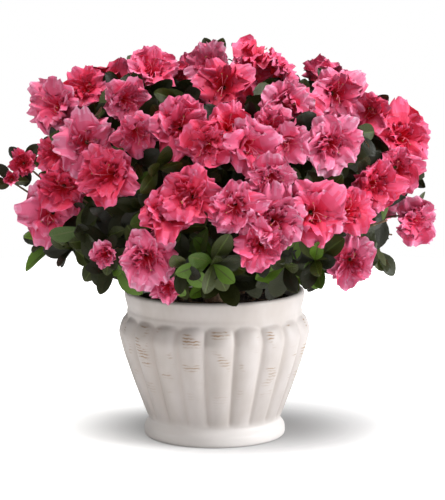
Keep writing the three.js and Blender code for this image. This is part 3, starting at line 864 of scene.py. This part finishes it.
def trunk_curve(t):
    start, bend = vec(0, 0, SOIL_TOP - 3), vec(-2, 1, SOIL_TOP + TRUNK_HEIGHT * 0.5)
    end = vec(*TRUNK_LEAN, SOIL_TOP + TRUNK_HEIGHT)
    return (1 - t) ** 2 * start + 2 * t * (1 - t) * bend + t**2 * end


def bark_relief(tray, path, radii, sides, furrow, roll):
    """A tube with furrows along it, and roughness all over."""
    points = tube(path, radii, sides).reshape(len(path), sides, 3)
    centres = np.asarray(path)[:, None, :]
    turn = np.linspace(0, 2 * math.pi, sides, endpoint=False)[None, :]
    along = np.arange(len(path))[:, None]
    wave = np.sin(5 * turn + 0.25 * along + roll() * 6) + 0.6 * np.sin(11 * turn - 0.4 * along)
    rough = np.array([roll() - 0.5 for _ in range(points.shape[0] * sides)]).reshape(wave.shape)
    push = 1 + furrow * (0.5 * wave + rough)
    points = centres + (points - centres) * push[..., None]
    quads = grid_quads(len(path), sides, closed=True)
    tray.add(points.reshape(-1, 3), quads, np.zeros(len(quads)))


bark_roll = seeded(33)
wood = Tray()
steps = np.linspace(0, 1, 40)
trunk_path = np.array([trunk_curve(t) for t in steps])
trunk_radii = FLARE * np.exp(-FLARE_FALL * steps) + np.interp(steps, [0, 1], TRUNK_RADII)
bark_relief(wood, trunk_path, trunk_radii, TRUNK_SIDES, 0.05, bark_roll)
for mass in masses:
    along = mass["root"] / TRUNK_HEIGHT
    root = trunk_curve(min(1, along))
    bend = root + 0.5 * (mass["hand"] - root)
    bend[2] = root[2] + 0.25 * (mass["hand"][2] - root[2])
    if along >= 1:
        bend = (root + mass["hand"]) / 2
    path = bow(root, bend, mass["hand"], 24)
    bark_relief(wood, path, np.linspace(3.6, 2.4, len(path)), BOUGH_SIDES, 0.06, bark_roll)
    stem = bow(mass["hand"], mass["hand"] + (path[-1] - path[-2]) * 8, mass["hub"], 8)
    bark_relief(wood, stem, np.linspace(2.4, 2.0, len(stem)), STEM_SIDES, 0.05, bark_roll)

bark_place = add_node(bark_tree, "ShaderNodeTexCoord")
bark_noise = add_node(bark_tree, "ShaderNodeTexNoise", Scale=260.0, Detail=6.0, Roughness=0.65)
bark_ramp = add_node(bark_tree, "ShaderNodeValToRGB")
bark_ramp.color_ramp.elements[0].color = paint(66, 44, 30)
bark_ramp.color_ramp.elements[0].position = 0.32
bark_ramp.color_ramp.elements[1].color = paint(146, 116, 88)
bark_ramp.color_ramp.elements[1].position = 0.68
bark_bump = add_node(bark_tree, "ShaderNodeBump", Strength=0.8, Distance=0.0008)
bark_tree.links.new(bark_place.outputs["Object"], bark_noise.inputs["Vector"])
bark_tree.links.new(bark_noise.outputs["Fac"], bark_ramp.inputs["Fac"])
bark_tree.links.new(bark_ramp.outputs["Color"], bark_shader.inputs["Base Color"])
bark_tree.links.new(bark_noise.outputs["Fac"], bark_bump.inputs["Height"])
bark_tree.links.new(bark_bump.outputs["Normal"], bark_shader.inputs["Normal"])
stem_and_boughs = wood.to_object("stem_and_boughs", [bark_finish])
print("stem_and_boughs has", len(stem_and_boughs.data.polygons) * 2, "triangles")

# %% [markdown]
# The pot is thrown on a wheel, and its ribs are pressed in afterwards. It is modelled in that
# order: the outline is spun round the axis, and then each point is moved in by how far it lies from
# the crest of its rib. The outline has only the points that the shape needs, with a smooth curve
# drawn through them.

# %% The pot's outline
LIP_HEIGHT, RIM_RADIUS, POT_WALL = 136, 85, 6  # the rounded lip adds half the wall to its height
RIBS, RIB_DEPTH, RIB_TURN = 20, 4.6, 3.7
CREST_OUTLINE = [
    (0, 66), (2.5, 66.8), (6, 66.8), (10, 66), (13.5, 63.6), (16.5, 62.4), (20, 64), (33, 69.2),
    (48, 75), (64, 80.6), (76, 84.6), (90, 88.4), (100, 90.2), (106, 88.9), (111, 86.9),
    (115, 84.6), (118, 83), (121, 82.4), (125, 83), (130, 84.2), (136, 85),
]
UNDERSIDE = [(0.001, 0), (30, 0), (60, 0), (63.5, 0)]
INSIDE = [
    (79.2, 136), (78, 130), (76.6, 122), (78, 114), (80, 108), (80.2, 100), (70, 60), (52, 12),
    (0.001, 10),
]


def through(points, samples):
    """A smooth curve through a few points, read off at samples of their first value."""
    x, y = np.array(points, dtype=float).T
    slope = np.gradient(y, x)
    i = np.clip(np.searchsorted(x, samples) - 1, 0, len(x) - 2)
    span = x[i + 1] - x[i]
    t = (samples - x[i]) / span
    return (
        y[i] * (1 + 2 * t) * (1 - t) ** 2 + y[i + 1] * t**2 * (3 - 2 * t)
        + span * (slope[i] * t * (1 - t) ** 2 - slope[i + 1] * t**2 * (1 - t))
    )


foot_heights, wall_heights = np.linspace(0, 20, 18), np.linspace(21.5, 104, 38)
neck_heights = np.linspace(105.5, LIP_HEIGHT, 24)
heights = np.concatenate([foot_heights, wall_heights, neck_heights])
outside = list(zip(through(CREST_OUTLINE, heights), heights))
outside[0] = (65.2, 0)  # the edge of the underside is worn round
half_wall = POT_WALL / 2
lip = [
    (RIM_RADIUS - half_wall * (1 - math.cos(turn)), LIP_HEIGHT + half_wall * math.sin(turn))
    for turn in np.linspace(0, math.pi, 9)[1:-1]
]
outline = [*UNDERSIDE, *outside, *lip, *INSIDE]
print("the outline has", len(outline), "points")

# %% [markdown]
# Spinning needs an outline as a chain of edges in one plane. It is given to the spin operator with
# sixteen steps for each rib, so that the valleys between ribs come out crisp.

# %% Spin the pot
STEPS_PER_RIB = 16


def spun(name, profile, steps):
    mesh = bpy.data.meshes.new(name)
    points = [(r * MM, 0, z * MM) for r, z in profile]
    mesh.from_pydata(points, [(i, i + 1) for i in range(len(points) - 1)], [])
    made = bpy.data.objects.new(name, mesh)
    bpy.context.collection.objects.link(made)
    bpy.ops.object.select_all(action="DESELECT")
    made.select_set(True)
    bpy.context.view_layer.objects.active = made
    bpy.ops.object.mode_set(mode="EDIT")
    bpy.ops.mesh.select_all(action="SELECT")
    bpy.ops.mesh.spin(steps=steps, angle=2 * math.pi, center=(0, 0, 0), axis=(0, 0, 1))
    bpy.ops.mesh.select_all(action="SELECT")
    bpy.ops.mesh.remove_doubles(threshold=2e-6)
    bpy.ops.mesh.normals_make_consistent(inside=False)
    bpy.ops.object.mode_set(mode="OBJECT")
    made.data.shade_smooth()
    return made


pot = spun("fluted_pot", outline, RIBS * STEPS_PER_RIB)
print("fluted_pot has", len(pot.data.polygons), "faces")

# %% [markdown]
# The ribs are rounded, meet in valleys, and end in flat arches under the smooth neck. How far a
# point lies from its rib's crest, from 0 there to 1 at the valley, gives both the depth of the
# groove and the height of the arch.

# %% Press the ribs into the pot
ARCH_TOP, ARCH_DROP, ARCH_ROUND = 117, 7.5, 4.5  # a high last number makes the arches flat on top
RIBS_FADE_IN = (17, 23)  # above the foot
INSIDE_LIMIT = [(0, 62), (12, 56), (60, 74), (100, 84), (139, 81.5)]  # height and radius
NECK_OUTLINE = [(0, 62), (20, 62.2), (100, 86), (112, 82.8), (121, 82.4), (139, 82.4)]


def read_points(made):
    points = np.empty(len(made.data.vertices) * 3, dtype=np.float32)
    made.data.vertices.foreach_get("co", points)
    return points.reshape(-1, 3).astype(float)


def write_points(made, points):
    made.data.vertices.foreach_set("co", points.astype(np.float32).ravel())
    made.data.update()


def store_value(made, name, values):
    layer = made.data.attributes.new(name, "FLOAT", "POINT")
    layer.data.foreach_set("value", values.astype(np.float32))


points = read_points(pot) / MM
radius = np.hypot(points[:, 0], points[:, 1])
bearing = np.degrees(np.arctan2(points[:, 0], -points[:, 1])) - RIB_TURN
rib_at = (bearing / (360 / RIBS) + 0.5) % 1 - 0.5
from_crest = np.abs(rib_at) * 2
z = points[:, 2]
arch = np.clip(1 - from_crest**ARCH_ROUND, 0, 1) ** (1 / ARCH_ROUND)
arch_top = ARCH_TOP - ARCH_DROP * (1 - arch)
is_outside = radius > np.interp(z, *zip(*INSIDE_LIMIT))
upper = 1 - smooth(-5, 1, z - arch_top)
lower = smooth(*RIBS_FADE_IN, z)
ridge = np.where(is_outside, upper * lower, 0)
neck = through(NECK_OUTLINE, z)
groove = 0.8 * from_crest**2 + 0.2 * from_crest**8
valley = RIB_DEPTH * groove * (0.55 + 0.45 * smooth(20, 70, z))
above_arch = np.where((z > 104) & (z < 121), np.maximum(radius - neck, 0), 0) * (1 - upper)
new_radius = np.where(is_outside, radius - valley * ridge - above_arch, radius)
share = np.where(radius > 1, new_radius / np.maximum(radius, 1e-6), 1)
points[:, 0] *= share
points[:, 1] *= share
write_points(pot, points * MM)
store_value(pot, "crest", ridge * (1 - from_crest) * is_outside)
store_value(pot, "valley", smooth(0.6, 1, from_crest) * ridge * is_outside)
print("pot is", round(float(np.hypot(points[:, 0], points[:, 1]).max() * 2), 1), "mm wide")

# %% [markdown]
# The glaze is an off-white satin with a faint mottle, and a little browner in the valleys. It is
# painted whiter towards the foot, a painted light. The pot is finished to look old: short level
# rubs on the crests show a tan body under the glaze. The rub is a band of level lines, broken up
# by noise and let through only where the crest and the height allow it.

# %% Glaze finish
GLAZE, GLAZE_SHADE, GLAZE_PAINTED_LIGHT_AT_FOOT = paint(212, 205, 202), paint(201, 193, 188), paint(240, 235, 232)
GLAZE_IN_VALLEYS, BARE_BODY = paint(188, 175, 165), paint(164, 134, 104)


def math_node(tree, operation, a, b):
    node = add_node(tree, "ShaderNodeMath", operation=operation)
    for socket, value in zip(node.inputs, (a, b)):
        if isinstance(value, (int, float)):
            socket.default_value = value
        else:
            tree.links.new(value, socket)
    return node.outputs[0]


def mix_colour(tree, factor, a, b):
    node = add_node(tree, "ShaderNodeMix", data_type="RGBA")
    tree.links.new(factor, node.inputs["Factor"])
    for socket, value in ((node.inputs[6], a), (node.inputs[7], b)):
        if isinstance(value, list):
            socket.default_value = value
        else:
            tree.links.new(value, socket)
    return node.outputs[2]


def map_value(tree, value, low, high):
    node = add_node(tree, "ShaderNodeMapRange", interpolation_type="SMOOTHSTEP")
    tree.links.new(value, node.inputs["Value"])
    node.inputs["From Min"].default_value = low
    node.inputs["From Max"].default_value = high
    return node.outputs["Result"]


def stretched_noise(tree, coordinates, stretch, scale, detail):
    mapping = add_node(tree, "ShaderNodeMapping", Scale=stretch)
    noise = add_node(tree, "ShaderNodeTexNoise", Scale=scale, Detail=detail, Roughness=0.6)
    tree.links.new(coordinates, mapping.inputs["Vector"])
    tree.links.new(mapping.outputs["Vector"], noise.inputs["Vector"])
    return noise.outputs["Fac"]


glaze_finish, tree, shader = new_finish("satin_glaze", GLAZE, 0.42)
coordinates = tree.nodes.new("ShaderNodeTexCoord").outputs["Object"]
crest = add_node(tree, "ShaderNodeAttribute", attribute_name="crest").outputs["Fac"]
hollow = add_node(tree, "ShaderNodeAttribute", attribute_name="valley").outputs["Fac"]
mottle = map_value(tree, stretched_noise(tree, coordinates, (1, 1, 0.5), 30, 3), 0.35, 0.7)
glaze_colour = mix_colour(tree, mottle, GLAZE, GLAZE_SHADE)
split = add_node(tree, "ShaderNodeSeparateXYZ")
tree.links.new(coordinates, split.inputs["Vector"])
height = split.outputs["Z"]
# Whiter towards the foot: a painted light.
painted_light_at_foot = map_value(tree, height, 0.024, 0.012)
glaze_colour = mix_colour(tree, painted_light_at_foot, glaze_colour, GLAZE_PAINTED_LIGHT_AT_FOOT)
valley_tint = math_node(tree, "MULTIPLY", hollow, 0.25)
glaze_colour = mix_colour(tree, valley_tint, glaze_colour, GLAZE_IN_VALLEYS)
lines = add_node(tree, "ShaderNodeTexWave", bands_direction="Z", Scale=110.0, Distortion=3.0)
lines.inputs["Detail"].default_value = 2.0
lines.inputs["Detail Scale"].default_value = 2.0
tree.links.new(coordinates, lines.inputs["Vector"])
rub_noise = stretched_noise(tree, coordinates, (1, 1, 7), 55, 5)
patches = map_value(tree, stretched_noise(tree, coordinates, (1, 1, 1.4), 44, 1), 0.54, 0.64)
rub = map_value(tree, lines.outputs["Fac"], 0.1, 1.1)
on_crests = map_value(tree, crest, 0.2, 0.6)
broken_up = map_value(tree, rub_noise, 0.36, 0.52)
above_foot = map_value(tree, height, 0.03, 0.1)
for lets_through in (patches, on_crests, broken_up, above_foot):
    rub = math_node(tree, "MULTIPLY", rub, lets_through)
glaze_colour = mix_colour(tree, rub, glaze_colour, BARE_BODY)
tree.links.new(glaze_colour, shader.inputs["Base Color"])
faint_rub = math_node(tree, "MULTIPLY", map_value(tree, rub_noise, 0.3, 0.7), 0.25)
rough_mix = add_node(tree, "ShaderNodeMapRange")
tree.links.new(math_node(tree, "MAXIMUM", rub, faint_rub), rough_mix.inputs["Value"])
rough_mix.inputs["To Min"].default_value = 0.42
rough_mix.inputs["To Max"].default_value = 0.75
tree.links.new(rough_mix.outputs["Result"], shader.inputs["Roughness"])
shader.inputs["Specular IOR Level"].default_value = 0.35
glaze_bump = add_node(tree, "ShaderNodeBump", Strength=0.5, Distance=0.0006)
tree.links.new(stretched_noise(tree, coordinates, (1, 1, 1), 60, 3), glaze_bump.inputs["Height"])
tree.links.new(glaze_bump.outputs["Normal"], shader.inputs["Normal"])
pot.data.materials.append(glaze_finish)
print("glaze has", len(tree.nodes), "nodes")

# %% [markdown]
# The soil is dark, moist peat with crumbs and bits of bark. Its surface is a disc in fine rings,
# heaped a little between the stem and the wall of the pot, and several hundred crumbs lie on it.

# %% Soil and its crumbs
SOIL_RINGS, SOIL_SIDES, SOIL_EDGE = 26, 96, 77.2
HEAP_HEIGHT, HEAP_START, HEAP_WIDTH = 2.4, 15, 62
CRUMBS, CRUMB_REACH, PEAT_SHARE = 700, 75, 0.7
PEAT_SLOT, CHIP_SLOT = 1, 2
CRUMB_SQUARE = [(-1, -1), (1, -1), (1, 1), (-1, 1)]
CRUMB = np.array([(x, y, z) for z in (-1, 1) for x, y in CRUMB_SQUARE])
CRUMB_WALLS = [(i, (i + 1) % 4, (i + 1) % 4 + 4, i + 4) for i in range(4)]
CRUMB_QUADS = np.array([(0, 3, 2, 1), (4, 5, 6, 7), *CRUMB_WALLS])


def heap(out):
    """How far the soil rises above its edge at a distance from the middle."""
    return HEAP_HEIGHT * np.sin(math.pi * np.clip((out - HEAP_START) / HEAP_WIDTH, 0, 1))


soil_tray = Tray()
soil_roll = seeded(15)
ring_radii = np.linspace(0.5, SOIL_EDGE, SOIL_RINGS)
turns = np.linspace(0, 2 * math.pi, SOIL_SIDES, endpoint=False)
r, a = np.meshgrid(ring_radii, turns, indexing="ij")
bumps = np.array([soil_roll() for _ in range(r.size)]).reshape(r.shape)
rise = SOIL_TOP + heap(r) + 1.6 * (bumps - 0.5)
rise = np.where(r > SOIL_EDGE - 3.2, SOIL_TOP - 0.5, rise)  # level where it meets the wall
surface = np.stack([r * np.sin(a), -r * np.cos(a), rise], axis=-1).reshape(-1, 3)
quads = grid_quads(SOIL_RINGS, SOIL_SIDES, closed=True)
soil_tray.add(surface, quads, np.zeros(len(quads)))
for _ in range(CRUMBS):
    out, turn = CRUMB_REACH * math.sqrt(soil_roll()), AROUND * soil_roll()
    half = vec(0.6 + 1.6 * soil_roll(), 0.5 + soil_roll(), 0.4 + 0.8 * soil_roll())
    jitter = np.array([0.7 + 0.6 * soil_roll() for _ in range(24)]).reshape(8, 3)
    shape = (CRUMB * jitter * half) @ turn_about_z(soil_roll() * AROUND).T
    place = vec(out * math.sin(turn), -out * math.cos(turn), SOIL_TOP + heap(out) + 0.4)
    slot = PEAT_SLOT if soil_roll() < PEAT_SHARE else CHIP_SLOT
    soil_tray.add(shape + place, CRUMB_QUADS, np.full(len(CRUMB_QUADS), slot))
peat_finish, tree, shader = new_finish("moist_peat", paint(40, 28, 20), 0.9)
add_grain(tree, shader, scale=500, low=0.8, high=1.0, depth=0.002)
soil_finishes = [peat_finish]
for name, colour in {"peat_crumb": (54, 38, 27), "bark_chip": (104, 76, 52)}.items():
    finish, tree, shader = new_finish(name, paint(*colour), 0.9)
    add_grain(tree, shader, scale=900, low=0.75, high=1.0, depth=0.001)
    soil_finishes.append(finish)
soil = soil_tray.to_object("peat_soil", soil_finishes)
print("peat_soil has", len(soil.data.polygons) * 2, "triangles")

# %% [markdown]
# The solids that the pieces stand for are hidden. The plant and its pot are one body, so all
# pieces ride on the same one.

# %% Pieces take the place of the solids
for level in LEVELS:
    mass_names = [mass["name"] for mass in masses if mass["level"] == level]
    for piece in (blossom[level], leaves[level]):
        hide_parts(*mass_names)
    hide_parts(*mass_names)
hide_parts("trunk", *[mass["bough"] for mass in masses])
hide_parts("pot")
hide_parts("soil")
for piece in [*blossom.values(), *leaves.values(), *twigs.values(), stem_and_boughs, pot, soil]:
    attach(piece, "root")
print("pieces placed")

# %% [markdown]
# The plant stands in a white studio: a wide pale floor and a bright even sky. A large soft light
# comes from the right, a wider one from overhead, and a weak warm one from the left keeps the
# shaded side open. The floor would look grey beside a white background. So it glows a little, only
# for the camera, and less round the foot of the pot, where the shadow has to stay, and there its
# colour is also painted grey, a painted contact shadow.

# %% Floor and lights
FLOOR_RADIUS, JUST_BELOW = 1.1, -0.0005
SHADED_UP_TO, LIT_FROM = 0.04, 0.19  # from the foot of the pot
bpy.ops.object.select_all(action="DESELECT")
bpy.ops.mesh.primitive_circle_add(
    vertices=96, radius=FLOOR_RADIUS, fill_type="NGON", location=(0, 0, JUST_BELOW),
)
floor = bpy.context.object
floor.name = "studio_floor"
floor_finish, _, shader = new_finish("studio_white_painted_shadow", paint(250, 250, 250), 0.9)
floor_tree = floor_finish.node_tree
around = add_node(floor_tree, "ShaderNodeTexCoord").outputs["Object"]
shifted = add_node(floor_tree, "ShaderNodeMapping", Location=(-0.018, -0.028, 0))
shifted.inputs["Scale"].default_value = (1, 1.2, 1)
away = add_node(floor_tree, "ShaderNodeVectorMath", operation="LENGTH")
floor_tree.links.new(around, shifted.inputs["Vector"])
floor_tree.links.new(shifted.outputs["Vector"], away.inputs[0])
out_of_painted_shadow = map_value(floor_tree, away.outputs["Value"], SHADED_UP_TO, LIT_FROM)
# Grey round the foot of the pot: a painted contact shadow, set a little off the pot's axis.
floor_painted_shadow_colour = mix_colour(floor_tree, out_of_painted_shadow, paint(166, 166, 166), paint(250, 250, 250))
floor_tree.links.new(floor_painted_shadow_colour, shader.inputs["Base Color"])
# The camera-only glow is weaker there too, which deepens the painted shadow.
strength = add_node(floor_tree, "ShaderNodeMapRange")
strength.inputs["To Min"].default_value = 0.05
strength.inputs["To Max"].default_value = 0.62
floor_tree.links.new(out_of_painted_shadow, strength.inputs["Value"])
eye = add_node(floor_tree, "ShaderNodeLightPath").outputs["Is Camera Ray"]
glow_seen = math_node(floor_tree, "MULTIPLY", strength.outputs["Result"], eye)
floor_tree.links.new(glow_seen, shader.inputs["Emission Strength"])
shader.inputs["Emission Color"].default_value = (1, 1, 1, 1)
floor.data.materials.append(floor_finish)
floor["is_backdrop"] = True


PLANT_MIDDLE = vec(0, 0, 0.2)


def soft_light(name, place, size, watts, colour):
    """A round area light that shines on the middle of the plant."""
    data = bpy.data.lights.new(name, "AREA")
    data.shape, data.size, data.energy, data.color = "DISK", size, watts, colour
    lamp = bpy.data.objects.new(name, data)
    lamp.location = place
    away = vec(*place) - PLANT_MIDDLE
    yaw = math.atan2(away[0], -away[1])
    tilt = math.atan2(math.hypot(away[0], away[1]), away[2])
    lamp.rotation_euler = (tilt, 0, yaw)
    bpy.context.collection.objects.link(lamp)


soft_light("key_light", (2.4, -0.7, 0.85), 1.2, 64, (0.98, 0.99, 1))
soft_light("overhead_light", (-0.3, -0.35, 2.3), 1.9, 54, (1, 0.98, 0.95))
soft_light("fill_light", (-1.6, -1.7, 0.8), 1.2, 2.5, (1, 0.9, 0.8))
world = bpy.data.worlds.new("white_room")
world.use_nodes = True
tree = world.node_tree
seen = add_node(tree, "ShaderNodeLightPath").outputs["Is Camera Ray"]
glow = add_node(tree, "ShaderNodeMapRange")
glow.inputs["To Min"].default_value = 0.27
glow.inputs["To Max"].default_value = 1.0
tree.links.new(seen, glow.inputs["Value"])
tree.nodes["Background"].inputs["Color"].default_value = (1, 1, 1, 1)
tree.links.new(glow.outputs["Result"], tree.nodes["Background"].inputs["Strength"])
bpy.context.scene.world = world
bpy.context.scene.view_settings.view_transform = "Standard"
print("studio lit")

# %% [markdown]
# The camera looks a little down on the plant from over two metres away, through a long lens, which
# is how a catalogue picture keeps the pot's sides upright.

# %% Camera
CAMERA_PITCH = 8.77  # degrees below level
FOCAL_PIXELS, LONG_SIDE_PIXELS = 2363, 500
lens = bpy.data.cameras.new("catalogue_lens")
lens.sensor_width = 36
lens.lens = FOCAL_PIXELS / LONG_SIDE_PIXELS * lens.sensor_width
camera = bpy.data.objects.new("catalogue_camera", lens)
camera.location = VIEWER * MM
camera.rotation_euler = (math.radians(90 - CAMERA_PITCH), 0, 0)
bpy.context.collection.objects.link(camera)
bpy.context.scene.camera = camera
print("lens", round(lens.lens, 1), "mm")

# %% [markdown]
# Last, the size of what is shown is printed, in millimetres.

# %% Print the size of what is shown
shown_box = [list(corner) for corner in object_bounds()]
lowest, highest = ([round(v / MM) for v in corner] for corner in shown_box)
print("shown from", lowest, "to", highest, "mm")
